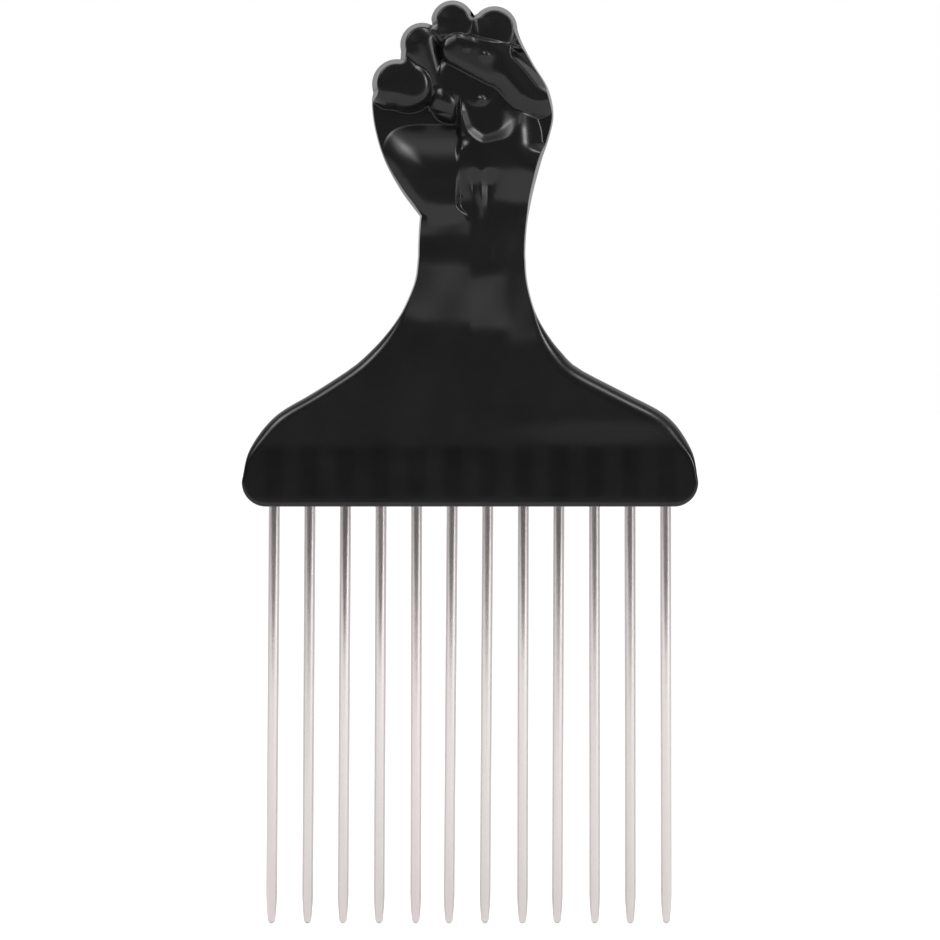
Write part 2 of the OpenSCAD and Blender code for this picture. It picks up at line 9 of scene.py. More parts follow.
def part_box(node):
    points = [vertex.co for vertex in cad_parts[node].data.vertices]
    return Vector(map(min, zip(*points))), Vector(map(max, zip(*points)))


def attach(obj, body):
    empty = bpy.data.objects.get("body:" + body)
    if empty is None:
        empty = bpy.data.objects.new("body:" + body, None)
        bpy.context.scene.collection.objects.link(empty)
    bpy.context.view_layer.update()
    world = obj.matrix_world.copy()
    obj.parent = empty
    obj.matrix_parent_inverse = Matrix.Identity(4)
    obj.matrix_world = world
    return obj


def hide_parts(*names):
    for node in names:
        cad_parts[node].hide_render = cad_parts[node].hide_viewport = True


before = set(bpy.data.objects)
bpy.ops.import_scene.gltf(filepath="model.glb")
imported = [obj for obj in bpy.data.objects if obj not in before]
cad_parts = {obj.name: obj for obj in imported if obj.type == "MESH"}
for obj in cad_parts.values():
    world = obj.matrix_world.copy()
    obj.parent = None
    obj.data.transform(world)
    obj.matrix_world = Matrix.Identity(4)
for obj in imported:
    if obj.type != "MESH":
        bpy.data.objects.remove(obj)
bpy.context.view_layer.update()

# Sizes in metres that the frame gives: the handle's box, the tines, and the floor
# that the tips stand on.
HANDLE_LOW, HANDLE_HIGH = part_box("handle")
TINE_NAMES = sorted(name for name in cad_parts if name.startswith("tine_"))
FLOOR_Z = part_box(TINE_NAMES[0])[0].z
BASE_W = HANDLE_HIGH.x - HANDLE_LOW.x
BOTTOM_Z = HANDLE_LOW.z
BASE_DROP = -BOTTOM_Z

# The photograph's pixels: the base is this many wide, and the origin, in the middle of
# the neck's waist, is at this pixel. Forms of the hand are placed by such pixels.
BASE_W_PX = 455
WAIST_PX = (470, 256)
PX = BASE_W / BASE_W_PX
PHOTO_W_PX = 940
PHOTO_MIDDLE_PX = (470, 470)

# Sizes of the handle, as in the solid.
MM = 0.001
NECK_W = 19.1 * MM
NECK_SHIFT = 0.3 * MM
CREASE_Z = 7 * MM
FIST_W = 32.3 * MM
FIST_H = 38.2 * MM
BAND_T = 0.4 * MM
EDGE_R = 1.9 * MM
CORNER_R = 4.3 * MM
BACK_T = 6.6 * MM

# Outline, as in the solid. Base sides: share of the way out from the waist, and share
# of the height up to the waist.
LEFT_FLARE_SHARES = [
    (1, 0.102), (0.953, 0.2305), (0.812, 0.359), (0.59, 0.455), (0.38, 0.551), (0.275, 0.615),
    (0.189, 0.679), (0.12, 0.7435), (0.07, 0.8075), (0.017, 0.904), (0, 1),
]
RIGHT_FLARE_SHARES = [
    (1, 0.102), (0.959, 0.2305), (0.823, 0.359), (0.571, 0.455), (0.307, 0.551), (0.209, 0.615),
    (0.135, 0.679), (0.079, 0.7435), (0.042, 0.8075), (0.01, 0.904), (0, 1),
]
# Sides of the fist, as shares of its width and height.
LEFT_FIST_SHARES = [(-0.2755, 0), (-0.378, 0.117), (-0.469, 0.258), (-0.521, 0.398), (-0.54, 0.515)]
RIGHT_FIST_SHARES = [
    (0.321, 0), (0.349, 0.117), (0.3935, 0.258), (0.437, 0.37), (0.4595, 0.475), (0.429, 0.595),
    (0.349, 0.707), (0.285, 0.81),
]
# Knuckles from the little finger: centre, radius, and the two end angles of the arc.
KNUCKLE_SHARES = [
    (-0.401, 0.6136, 0.1378, 198, 82),
    (-0.263, 0.797, 0.1206, 195, 62),
    (-0.0963, 0.9026, 0.1179, 172, 17),
    (0.1345, 0.869, 0.126, 138, 0),
]
# Angles on the outer two knuckles where the sides of the grid end and its top starts,
# and the angle on the corners of the base where the bottom ends and the sides start.
TOP_START = 178
TOP_END = 50
CORNER_SPLIT = 45

# Grid of the handle: columns across, and rows up the base, the neck and the fist. The
# base's rows end at this share of the height up to the waist.
COLUMNS = 320
BASE_ROWS = 56
NECK_ROWS = 64
FIST_ROWS = 280
ROWS = BASE_ROWS + NECK_ROWS + FIST_ROWS
BASE_ROWS_SHARE = 0.62
# How the rows crowd towards the bottom, and the columns towards the sides of the base
# and of the fist.
ROW_CROWDING = 1.3
COLUMN_CROWDING = (0.75, 0.45)
# How fast the fist's rows take on the curve of its top, and over which share of the
# base's rows, and how fast, the curve of the bottom dies away.
TOP_CURVE_POWER = 1.2
BOTTOM_CURVE_SHARE = 0.4
BOTTOM_CURVE_POWER = 2
# Points along each stretch of a curve of the outline.
CURVE_STEPS = 60
# Angle above which an edge between two faces is sharp.
SHARP_ANGLE = 50

# Limbs of the palm side, in photograph pixels: end, end, radii, heights of the rim of
# the form, crowns above it, how flat-topped it is, and its slope across and down.
FINGERS_PX = [
    ((452.5, 20), (453, 26), (22, 22), (26, 26), (5, 5), 5, (0, 0)),
    ((493, 28), (492, 36), (22.5, 22.5), (26, 26), (5, 5), 5, (0, 0)),
    ((417, 46), (435, 88), (19, 12), (25.5, 16.5), (5.5, 6), 3, (0, 0)),
]
LITTLE_FINGER_PX = ((398, 82), (408, 87), (27, 23), (25, 25), (5, 5), 6, (0, 0))
THUMB_PX = [
    ((458, 52), (496, 66), (17, 24), (24.5, 25), (8, 8.5), 8, (0, -0.16)),
    ((508, 70), (528, 80), (20, 26), (28, 29.5), (6, 4.5), 2.8, (0, 0)),
]
HOLLOW_PX = ((458, 80), (478, 88), (24, 24), (19.5, 19.5), (5, 5), 6, (0, 0.03))
# Mounds: centre, half length, half width, turn, height of the rim, crown, flatness and
# slope. The web is between the index finger and the thumb.
RING_TIP_PX = ((446, 101), 17, 12, 66, 20, 6, 2, (0, 0))
WEB_PX = ((518, 46), 12, 8, 50, 19, 5, 2, (0, -0.15))
# A form goes on falling beyond its rim, to this many times its radius.
LENS_REACH = 1.6
# Small bumps: place, width and height.
BUMPS_PX = [(486, 58, 4, 2.4), (467, 51, 2.2, 1.2), (482, 101, 3.5, 2)]

# Where forms fall away: the start, the slope, and how softly it begins. The little
# finger turns down into the palm along a slanted line. The ball of the thumb falls
# towards the thumb's side, and that fall fades out between two heights.
LITTLE_FALL_PX = (93, 0.3, 1.5)
LITTLE_SLANT = 0.25
LITTLE_SLANT_X = 388
BALL_FALL_PX = (523, 0.9, 5)
BALL_FALL_FADE_PX = (142, 160)
# Outer palm: its top and height, how it bends down to the left, the right and up, its
# slope below the top, its fall to the wrist, and its fall within reach of the outline,
# which sets in between two heights. Its upper corners are squarer than an ellipse's.
OUTER_PALM_PX = (438, 179, 34)
OUTER_PALM_BENDS = (0.0071, 0.002, 0.0078)
OUTER_PALM_SQUARE = 4
OUTER_PALM_LOW_SLOPE = 0.03
OUTER_PALM_FALL_PX = (209, 0.35, 3)
OUTER_PALM_RIM_PX = (9, 0.4, 2)
OUTER_PALM_RIM_START_PX = (150, 175)
# Ball of the thumb: its left flank runs from the first place to the second, as steep as
# this, over this width, and fades between two heights.
BALL_FLANK_PX = ((455, 104), (468, 138))
BALL_FLANK_SLOPE = 0.74
BALL_FLANK_W_PX = 3
BALL_FLANK_FADE_PX = (140, 152)
# Dish cut into the ball of the thumb: its foot runs down beside the flank, round to the
# right and up again, with this much wall. Its floor has a height down to one level and
# rises from there, and it runs out to the right between two places.
DISH_FOOT_PX = ((463, 98), (473, 129), (484, 137), (496, 134), (508, 125))
DISH_WALLS = (0.52, 0.56, 0.56, 0.5)
DISH_FLOOR_PX = (24, 112, 0.15)
DISH_OPEN_PX = (498, 524)
# Height of the skin under these forms, down the little finger's side, the middle and
# the thumb's side, and where one passes into the next.
SKIN_PX = [
    [(0, 16), (98, 16), (108, 9), (160, 9), (190, 16), (215, 28.8), (238, 26.3), (262, 26.3),
     (324, 19.9)],
    [(0, 16), (84, 22), (92, 24.6), (104, 26), (112, 29.5), (138, 33.2), (168, 33),
     (203, 27.5), (275, 26.4), (332, 19.9)],
    [(0, 16), (98, 20), (104, 25), (130, 33.5), (150, 35), (170, 34), (203, 27.5),
     (280, 24.8), (350, 19.9)],
]
SKIN_JOINS_PX = [(455, 462), (499, 515)]
# The first join runs this much further over below the palm.
JOIN_STEP_PX = 12
JOIN_STEP_START_PX = (205, 222)
# The crease above the outer palm is shallower towards the thumb: by how much, from
# where across, and between which heights.
CREASE_RISE_PX = 9
CREASE_RISE_X_PX = (438, 454)
CREASE_RISE_FADE_PX = ((94, 104), (112, 122))
# Slow ripples of the wrist's skin: height, the lengths of a wave across and down, how
# many pixels across move a wave up by one, and between which heights they begin and end.
RIPPLE_PX = (0.3, 58, 84)
RIPPLE_SLANT = 3
RIPPLE_FADE_PX = ((205, 225), (320, 345))
# How the skin's bands are rounded at their ends and bowed across the neck.
SKIN_BLUR_PX = 5
SKIN_BLUR_STEPS = 7
SKIN_BOW_PX = 5
SKIN_BOW_X_PX = 462
SKIN_BOW_START_PX = (225, 250)
NECK_HALF_PX = 50
# Edge of the thumb's first joint over the ledge beside it. The ledge has a height at one
# level and a tilt, and its wall is this steep and this softly rounded. It is there only
# between two heights and from one place across, and elsewhere its wall is out of reach.
LEDGE_PX = ((506, 40), (513, 51), (530, 68), (546, 86), (556, 110))
LEDGE_HEIGHT_PX = (19, 58, -0.17)
LEDGE_STEEP = 1.8
LEDGE_EDGE_PX = 1.3
LEDGE_FADE_PX = ((36, 56), (88, 108))
LEDGE_START_X_PX = (500, 512)
LEDGE_AWAY_PX = 40
# Creases: points along each, width and depth.
CREASES_PX = [
    (((430, 113), (450, 116), (457, 126), (460.5, 150), (461, 196)), 1.5, 0.5),
    (((475, 12), (475, 42)), 2, 1.2),
    (((442, 39), (466, 39)), 1.6, 1),
    (((466, 39), (482, 46), (512, 50)), 1.6, 0.5),
]
# Tendons of the wrist: place across, width and height, and where each begins and ends.
TENDONS_PX = [(481.5, 3.5, 2.6, (162, 176), (194, 222)), (492.5, 2, 0.5, (205, 225), (245, 262))]
# Channels beside them: place across, half width and height of the floor, the slope of
# their walls, and between which heights they begin and end.
CHANNELS_PX = [(489, 1.5, 27.2), (473.5, 0.5, 28)]
CHANNEL_WALL = 0.6
CHANNEL_FADE_PX = ((168, 188), (215, 260))

# Drafted wall round the fist: how steeply it rises inwards, and how much more so at the
# thumb's side, at the other side of the palm and at the wrist, with where each begins.
WALL_STEEP = 4.6
THUMB_WALL_MORE = 4
THUMB_WALL_X_PX = (505, 530)
PALM_WALL_MORE = 4
PALM_WALL_START_PX = (96, 110)
PALM_SIDE_X_PX = (430, 460)
WRIST_WALL_MORE = 7
WRIST_WALL_START_PX = (200, 225)
# Shoulder above that wall: its height, its slope and bend inwards, and how much higher
# it is at the outer palm and at the thumb's side of the wrist.
SHOULDER_PX = 27
SHOULDER_SLOPE = 0.15
SHOULDER_BEND = 0.004
PALM_SHOULDER_MORE_PX = 3
PALM_SHOULDER_START_PX = (150, 170)
WRIST_SHOULDER_MORE_PX = 7
WRIST_SHOULDER_FADE_PX = ((140, 178), (203, 225))
WRIST_SHOULDER_X_PX = (500, 520)
# Rounded edge of the neck and the base: its radius at the neck and at the bottom, how
# much larger it is at the right, the power of its curve, and where one passes into the
# next on the way down.
NECK_EDGE_PX = 4
BOTTOM_EDGE_PX = 3.5
RIGHT_EDGE_MORE = 0.5
RIGHT_EDGE_X_PX = (480, 560)
EDGE_POWER = 2.2
FIST_TO_NECK_PX = (285, 335)
NECK_TO_BASE_PX = (300, 360)
BASE_TO_BOTTOM_PX = (430, 470)
# How softly forms run into each other, and how softly the bones of the back do.
FINGER_BLEND_PX = 0.5
FORM_BLEND_PX = 0.6
CHANNEL_BLEND_PX = 1
WALL_BLEND_PX = 0.9
SHOULDER_BLEND_PX = 1.1
BONE_BLEND_PX = 1.6

# Back of the hand: its height down the comb in pixels, and its forms as shares of the
# fist. The bones run from the wrist to each knuckle: end, end, half widths, heights and
# crowns at the two ends, and squareness. The mounds of the hand: centre, half length,
# half width, turn, height, crown and squareness.
BACK_FLOOR_PX = [(0, 18.5), (160, 26.5), (200, 26), (300, 26), (332, 20.1)]
BONE_SHARES = [
    ((0.02, 0.1), (0.13, 0.78), (0.16, 0.14), (0, 0.15), (0.83, 0.83), 2.2),
    ((-0.03, 0.1), (-0.08, 0.8), (0.16, 0.135), (0, 0.17), (0.83, 0.83), 2.2),
    ((-0.08, 0.1), (-0.25, 0.7), (0.16, 0.13), (0, 0.12), (0.8, 0.8), 2.2),
    ((-0.13, 0.1), (-0.38, 0.54), (0.16, 0.13), (0, 0.05), (0.76, 0.76), 2.2),
]
HAND_SHARES = [
    ((-0.03, 0.4), 0.5, 0.46, -80, 0, 0.82, 3),
    ((0.3, 0.42), 0.3, 0.17, -60, 0, 0.72, 2.6),
]

# How far the tip of each tine leans to the right, in photograph pixels.
LEANS_PX = [-3.8, -3.2, -3.1, -2.4, -1.2, -3.4, -2.8, -0.6, -1.3, 0.9, 1.1, 1.6]
# Tip of a tine: the length of its taper, the power of the taper's curve, and the
# diameter of its round nose.
TIP_TAPER = 5.6 * MM
TAPER_POWER = 1.6
TIP_D = 1.4 * MM
# Points round a tine, and along its nose, its taper and its shank.
TINE_SIDES = 64
NOSE_POINTS = 10
TAPER_POINTS = 12
SHANK_POINTS = 14

# Black plastic and bright nickel: darkest and palest colour, and range of roughness.
PLASTIC_COLOURS = ((0.0045, 0.0045, 0.005, 1), (0.0073, 0.0073, 0.0078, 1))
PLASTIC_ROUGHNESS = (0.19, 0.25)
PLASTIC_IOR = 1.46
NICKEL_COLOURS = ((0.76, 0.705, 0.70, 1), (0.82, 0.765, 0.76, 1))
NICKEL_ROUGHNESS = (0.10, 0.18)
# The noise hardly leaves this range.
NOISE_RANGE = (0.3, 0.7)
# Darker bands over the seated tines: the heights above the bottom of
# the base over which they begin and end, how much darker it is between the tines and at
# them, and how far the wave between the two is spread. Then the middle, half size and
# strength of a painted reflection: a pale streak painted above them.
TINE_PITCH = 6.35 * MM
SEAT_START = (1.2 * MM, 2.2 * MM)
SEAT_END = (9.8 * MM, 11.8 * MM)
SEAT_DARKER = (0.5, 0.9)
SEAT_WAVE = (-0.7, 0.7)
REFLECTION_STREAK_X = 22.5 * MM
REFLECTION_STREAK_Z = -31.3 * MM
REFLECTION_STREAK_HALF_W = 20 * MM
REFLECTION_STREAK_HALF_H = 2.8 * MM
REFLECTION_STREAK_PALER = 1.1

# Camera: how far in front of the comb it stands, and its height above the waist.
CAMERA_Y = -0.8
CAMERA_Z = 0
CAMERA_CLIP = 0.01
SENSOR_MM = 36

# Floor: how far it reaches in front of the comb, behind it and to each side.
FLOOR_FRONT = 0.6
FLOOR_BACK = 2.5
FLOOR_SIDE = 2
FLOOR_COLOUR = (0.85, 0.85, 0.85, 1)
# Light that the floor adds where the camera sees it, so it reads white.
FLOOR_GLOW = 0.5
WHITE = (1, 1, 1, 1)

# Room round the comb: where its light changes on the way to the back and upwards, and
# its strength before and after. What diffuse light meets at least, and the most of all.
ROOM_BACK_AT = (0.16, 0.36)
ROOM_BACK = (0.12, 0.8)
ROOM_TOP_AT = (0.52, 0.66)
ROOM_TOP = (0, 0.35)
ROOM_DIFFUSE = 0.4
ROOM_MOST = 1.35
# Softboxes: name, angle to the right of the camera's side and angle up as seen from the
# fist, distance, width, height and radiance.
SOFTBOXES = [
    ("softbox_left", -42, 30, 1.0, 0.55, 0.48, 2.6),
    ("core_left", -42, 31, 0.98, 0.24, 0.2, 6),
    ("softbox_right", 53.5, 12.5, 1.0, 0.33, 0.63, 3),
    ("core_right", 53.5, 13, 0.98, 0.16, 0.3, 9),
    ("softbox_upper_right", 36, 49, 1.0, 0.34, 0.28, 6),
    ("strip_overhead", 0, 53, 1.2, 2.1, 0.48, 0.6),
]


def lerp(a, b, t):
    return a + (b - a) * t


def smooth(x, low, high):
    """Share of the way from one value to another, eased at both ends."""
    t = np.clip((x - low) / (high - low), 0, 1)
    return t * t * (3 - 2 * t)


def window(x, start, end):
    """Share that grows from 0 to 1 over one range and goes back over another."""
    return smooth(x, *start) * (1 - smooth(x, *end))


def bell(d):
    return np.exp(-d ** 2)


def soft_max(heights, k):
    """Greatest of some heights, with the seams between them rounded."""
    stack = np.stack(np.broadcast_arrays(*heights))
    top = stack.max(axis=0)
    return top + k * np.log(np.exp((stack - top) / k).sum(axis=0))


def soft_min(a, b, k):
    return -soft_max([-a, -b], k)


def fall(distance, slope, width):
    """Drop that starts softly where the distance passes zero."""
    return slope * width * np.logaddexp(0, distance / width)


def lens(d, flatness):
    """Dome that is 1 at its middle and 0 at its rim, where d is 1, and falls on beyond it."""
    return 1 - np.clip(d, 0, LENS_REACH) ** flatness


def near_segment(x, y, start, end):
    """How far along a segment its nearest point is, and the distance from there."""
    dx = end[0] - start[0]
    dy = end[1] - start[1]
    t = np.clip(((x - start[0]) * dx + (y - start[1]) * dy) / (dx * dx + dy * dy), 0, 1)
    return t, np.hypot(x - start[0] - t * dx, y - start[1] - t * dy)


def turned(dx, dy, degrees):
    """Offsets along and across an axis that is turned by this angle."""
    turn = math.radians(degrees)
    along = dx * math.cos(turn) + dy * math.sin(turn)
    across = dy * math.cos(turn) - dx * math.sin(turn)
    return along, across


def smooth_curve(points):
    """Dense points of a smooth curve through control points."""
    p = np.array(points, float)
    p = np.vstack([2 * p[0] - p[1], p, 2 * p[-1] - p[-2]])
    t = np.linspace(0, 1, CURVE_STEPS, endpoint=False)[:, None]
    spans = []
    for a, b, c, d in zip(p[:-3], p[1:-2], p[2:-1], p[3:]):
        bend = (2 * a - 5 * b + 4 * c - d) * t ** 2 + (3 * b - a - 3 * c + d) * t ** 3
        spans.append((2 * b + (c - a) * t + bend) / 2)
    return np.vstack(spans + [p[-2:-1]])


def spread(points, count):
    """Points spaced evenly along a line."""
    steps = np.hypot(*np.diff(points, axis=0).T)
    along = np.concatenate([[0], np.cumsum(steps)])
    wanted = np.linspace(0, along[-1], count + 1)
    return np.column_stack([np.interp(wanted, along, points[:, k]) for k in (0, 1)])


def fist_place(x_share, z_share):
    return np.array([x_share * FIST_W, CREASE_Z + z_share * FIST_H])


def arc(knuckle, first, last):
    """Points round a knuckle from one angle to another."""
    x_share, z_share, r_share = knuckle[:3]
    turn = np.radians(np.linspace(first, last, CURVE_STEPS))
    return fist_place(x_share, z_share) + np.column_stack([np.cos(turn), np.sin(turn)]) * r_share * FIST_W


def knuckle_line():
    """Top of the fist, over the four knuckles."""
    little, ring, middle, index = KNUCKLE_SHARES
    return np.vstack([
        arc(little, TOP_START, little[4]), arc(ring, *ring[3:]), arc(middle, *middle[3:]),
        arc(index, index[3], TOP_END),
    ])


def low_side(side, flare_shares, fist_x):
    """Side of the base and the neck, from half way round the bottom corner."""
    waist = side * NECK_W / 2 + NECK_SHIFT
    end = side * BASE_W / 2
    centre = np.array([side * (BASE_W / 2 - CORNER_R), BOTTOM_Z + CORNER_R])
    turn = np.radians(np.linspace(-CORNER_SPLIT, 0, CURVE_STEPS))
    corner = centre + CORNER_R * np.column_stack([side * np.cos(turn), np.sin(turn)])
    flare = smooth_curve([(lerp(waist, end, out), BOTTOM_Z + BASE_DROP * up) for out, up in flare_shares])
    t = np.linspace(0, 1, CURVE_STEPS)[1:]
    neck = np.column_stack([lerp(waist, fist_x, t * t), CREASE_Z * t])
    return np.vstack([corner, flare, neck])


def side_points(side, flare_shares, fist_shares, last_arc):
    """One side of the grid, a point for each row from the bottom up."""
    fist = smooth_curve([fist_place(*share) for share in fist_shares] + [last_arc[0]])
    fist = np.vstack([fist, last_arc[1:]])
    low = low_side(side, flare_shares, fist[0][0])
    top_of_base = BOTTOM_Z + BASE_DROP * BASE_ROWS_SHARE
    up_base = np.linspace(0, 1, BASE_ROWS + 1)[:-1] ** ROW_CROWDING
    base_z = lerp(low[0][1], top_of_base, up_base)
    neck_z = np.linspace(top_of_base, CREASE_Z, NECK_ROWS + 1)[:-1]
    rows_z = np.concatenate([base_z, neck_z])
    order = np.interp(rows_z, low[:, 1], np.arange(len(low)))
    rows_x = np.interp(order, np.arange(len(low)), low[:, 0])
    return np.vstack([np.column_stack([rows_x, rows_z]), spread(fist, FIST_ROWS)])


def bottom_line():
    """Bottom of the base, with half of each corner."""
    halves = []
    for side in (-1, 1):
        turn = np.radians(np.linspace(CORNER_SPLIT, 90, CURVE_STEPS))
        corner = CORNER_R * np.column_stack([side * np.cos(turn), -np.sin(turn)])
        halves.append(np.array([side * (BASE_W / 2 - CORNER_R), BOTTOM_Z + CORNER_R]) + corner)
    return np.vstack([halves[0], halves[1][::-1]])


def plan_grid():
    """Places of the grid in x and z. Its rim is the handle's outline."""
    top = spread(knuckle_line(), COLUMNS)
    bottom = spread(bottom_line(), COLUMNS)
    left_arc = arc(KNUCKLE_SHARES[0], KNUCKLE_SHARES[0][3], TOP_START)
    right_arc = arc(KNUCKLE_SHARES[3], KNUCKLE_SHARES[3][4], TOP_END)
    left = side_points(-1, LEFT_FLARE_SHARES, LEFT_FIST_SHARES, left_arc)
    right = side_points(1, RIGHT_FLARE_SHARES, RIGHT_FIST_SHARES, right_arc)
    # Share of the way across of each place, crowded towards the sides.
    row = np.arange(ROWS + 1)[:, None]
    s = np.linspace(0, 1, COLUMNS + 1)[None, :]
    crowding = lerp(*COLUMN_CROWDING, np.clip((row - BASE_ROWS) / NECK_ROWS, 0, 1))
    u = s - crowding * np.sin(2 * np.pi * s) / (2 * np.pi)
    # How much each row has of the curve of the top and of the bottom.
    up_fist = np.clip((row - BASE_ROWS - NECK_ROWS) / FIST_ROWS, 0, 1)
    w_top = up_fist ** TOP_CURVE_POWER
    w_bottom = np.clip(1 - row / (BASE_ROWS * BOTTOM_CURVE_SHARE), 0, 1) ** BOTTOM_CURVE_POWER
    # Those curves, as offsets from a straight line between the two sides.
    top_at = np.column_stack([np.interp(u[-1], s[0], top[:, k]) for k in (0, 1)])
    bottom_at = np.column_stack([np.interp(u[0], s[0], bottom[:, k]) for k in (0, 1)])
    top_bend = top_at - lerp(top[0], top[-1], u[-1][:, None])
    bottom_bend = bottom_at - lerp(left[0], right[0], u[0][:, None])
    flat = lerp(left[:, None, :], right[:, None, :], u[:, :, None])
    return flat + w_top[:, :, None] * top_bend + w_bottom[:, :, None] * bottom_bend


def rim(net):
    """What lies all the way round the rim of a net, from its bottom left corner."""
    return np.concatenate([net[0], net[1:, -1], net[-1, -2::-1], net[-2:0:-1, 0]])


def depth_inside(grid):
    """Distance of each place of the grid from the outline."""
    ring = rim(grid)
    tree = KDTree(len(ring))
    for k, (x, z) in enumerate(ring):
        tree.insert((x, z, 0), k)
    tree.balance()
    flat = grid.reshape(-1, 2)
    near = np.array([tree.find((x, z, 0))[1] for x, z in flat])
    # The outline's nearest stretch is one of two on either side of its nearest point.
    best = np.full(len(flat), np.inf)
    for step in range(-2, 2):
        a = ring[(near + step) % len(ring)]
        b = ring[(near + step + 1) % len(ring)]
        ab = b - a
        t = np.clip(((flat - a) * ab).sum(1) / (ab * ab).sum(1), 0, 1)
        best = np.minimum(best, np.hypot(*(flat - a - t[:, None] * ab).T))
    return best.reshape(grid.shape[:2])


def limb(X, Y, row):
    """Form that runs from one end to the other, such as a finger."""
    start, end, radii, heights, crowns, flatness, slope = row
    t, d = near_segment(X, Y, start, end)
    across = slope[0] * (X - (start[0] + end[0]) / 2)
    down = slope[1] * (Y - (start[1] + end[1]) / 2)
    return lerp(*heights, t) + lerp(*crowns, t) * lens(d / lerp(*radii, t), flatness) + across + down


def mound(X, Y, row):
    """Low oval form."""
    (x, y), half_length, half_width, turn, height, crown, flatness, slope = row
    along, across = turned(X - x, Y - y, turn)
    d = np.hypot(along / half_length, across / half_width)
    return height + crown * lens(d, flatness) + slope[0] * (X - x) + slope[1] * (Y - y)


def crease(X, Y, row):
    """Depth of a groove along a line."""
    points, width, depth = row
    cut = np.zeros_like(X)
    for start, end in zip(points[:-1], points[1:]):
        d = near_segment(X, Y, start, end)[1]
        cut = np.maximum(cut, depth * bell(d / width))
    return cut


def wrist_tendons(X, Y):
    """Height of the ridges down the wrist."""
    ridges = np.zeros_like(X)
    for x, width, height, start, end in TENDONS_PX:
        ridges = ridges + window(Y, start, end) * height * bell((X - x) / width)
    return ridges


def cut_channels(X, Y, forms):
    """Forms with the wrist's channels cut down to their floors."""
    fade = window(Y, *CHANNEL_FADE_PX)
    for x, half_width, floor in CHANNELS_PX:
        wall = floor + CHANNEL_WALL * np.maximum(np.abs(X - x) - half_width, 0)
        forms = lerp(forms, soft_min(forms, wall, CHANNEL_BLEND_PX), fade)
    return forms


def soft_table(Y, table):
    """Height down a table, with its corners rounded."""
    offsets = np.linspace(-SKIN_BLUR_PX, SKIN_BLUR_PX, SKIN_BLUR_STEPS)
    return sum(np.interp(Y + offset, *zip(*table)) for offset in offsets) / len(offsets)


def ripple(X, Y):
    height, across, down = RIPPLE_PX
    wave = np.sin(2 * np.pi * X / across) * np.sin(2 * np.pi * (Y + X / RIPPLE_SLANT) / down)
    return window(Y, *RIPPLE_FADE_PX) * height * wave


def outer_palm(X, Y, D):
    x, y, top = OUTER_PALM_PX
    left, right, up = OUTER_PALM_BENDS
    beside = np.abs(X - x) * np.sqrt(np.where(X < x, left, right))
    above = np.maximum(y - Y, 0) * math.sqrt(up)
    bend = (beside ** OUTER_PALM_SQUARE + above ** OUTER_PALM_SQUARE) ** (2 / OUTER_PALM_SQUARE)
    height = top - bend - OUTER_PALM_LOW_SLOPE * np.maximum(Y - y, 0)
    start, slope, width = OUTER_PALM_FALL_PX
    reach, rim_slope, rim_width = OUTER_PALM_RIM_PX
    rim_fall = fall(reach - D, rim_slope, rim_width) * smooth(Y, *OUTER_PALM_RIM_START_PX)
    return height - fall(Y - start, slope, width) - rim_fall


def thumb_ball(X, Y, table):
    """Skin at the ball of the thumb, with its left flank."""
    (x1, y1), (x2, y2) = BALL_FLANK_PX
    edge = lerp(x1, x2, np.clip((Y - y1) / (y2 - y1), 0, 1))
    flank = fall(edge - X, BALL_FLANK_SLOPE, BALL_FLANK_W_PX) * (1 - smooth(Y, *BALL_FLANK_FADE_PX))
    return soft_table(Y, table) - flank


def thumb_flank(X, Y, table):
    """Skin at the thumb's side, where it falls towards the edge."""
    start, slope, width = BALL_FALL_PX
    return soft_table(Y, table) - fall(X - start, slope, width) * (1 - smooth(Y, *BALL_FALL_FADE_PX))


def with_dish(X, Y, thumb):
    """Skin of the thumb with the dish cut into it."""
    walls = [np.zeros_like(X)]
    for (x1, y1), (x2, y2), slope in zip(DISH_FOOT_PX[:-1], DISH_FOOT_PX[1:], DISH_WALLS):
        outside = ((X - x1) * (y1 - y2) + (Y - y1) * (x2 - x1)) / math.hypot(x2 - x1, y2 - y1)
        walls.append(slope * outside)
    height, level, tilt = DISH_FLOOR_PX
    bowl = height + tilt * np.maximum(Y - level, 0) + soft_max(walls, FORM_BLEND_PX)
    return lerp(soft_min(thumb, bowl, FORM_BLEND_PX), thumb, smooth(X, *DISH_OPEN_PX))


def skin(X, Y, D):
    """Skin of the palm and the wrist, under the other forms."""
    left_table, middle_table, right_table = SKIN_PX
    first_join, second_join = SKIN_JOINS_PX
    bowed = Y + SKIN_BOW_PX * ((X - SKIN_BOW_X_PX) / NECK_HALF_PX) ** 2 * smooth(Y, *SKIN_BOW_START_PX)
    rise = CREASE_RISE_PX * smooth(X, *CREASE_RISE_X_PX) * window(Y, *CREASE_RISE_FADE_PX)
    left = soft_max([outer_palm(X, Y, D), soft_table(bowed, left_table) + rise], FORM_BLEND_PX)
    middle = thumb_ball(X, bowed, middle_table)
    right = thumb_flank(X, bowed, right_table)
    thumb = with_dish(X, Y, lerp(middle, right, smooth(X, *second_join)))
    step = JOIN_STEP_PX * smooth(Y, *JOIN_STEP_START_PX)
    return lerp(left, thumb, smooth(X - step, *first_join)) + ripple(X, Y)


def beyond_line(X, Y, points):
    """Distance from a line, positive to its right when it runs down."""
    best = np.full_like(X, np.inf)
    side = np.zeros_like(X)
    for start, end in zip(points[:-1], points[1:]):
        d = near_segment(X, Y, start, end)[1]
        turn = (X - start[0]) * (end[1] - start[1]) - (Y - start[1]) * (end[0] - start[0])
        nearer = d < best
        best = np.where(nearer, d, best)
        side = np.where(nearer, np.sign(turn), side)
    return best * side


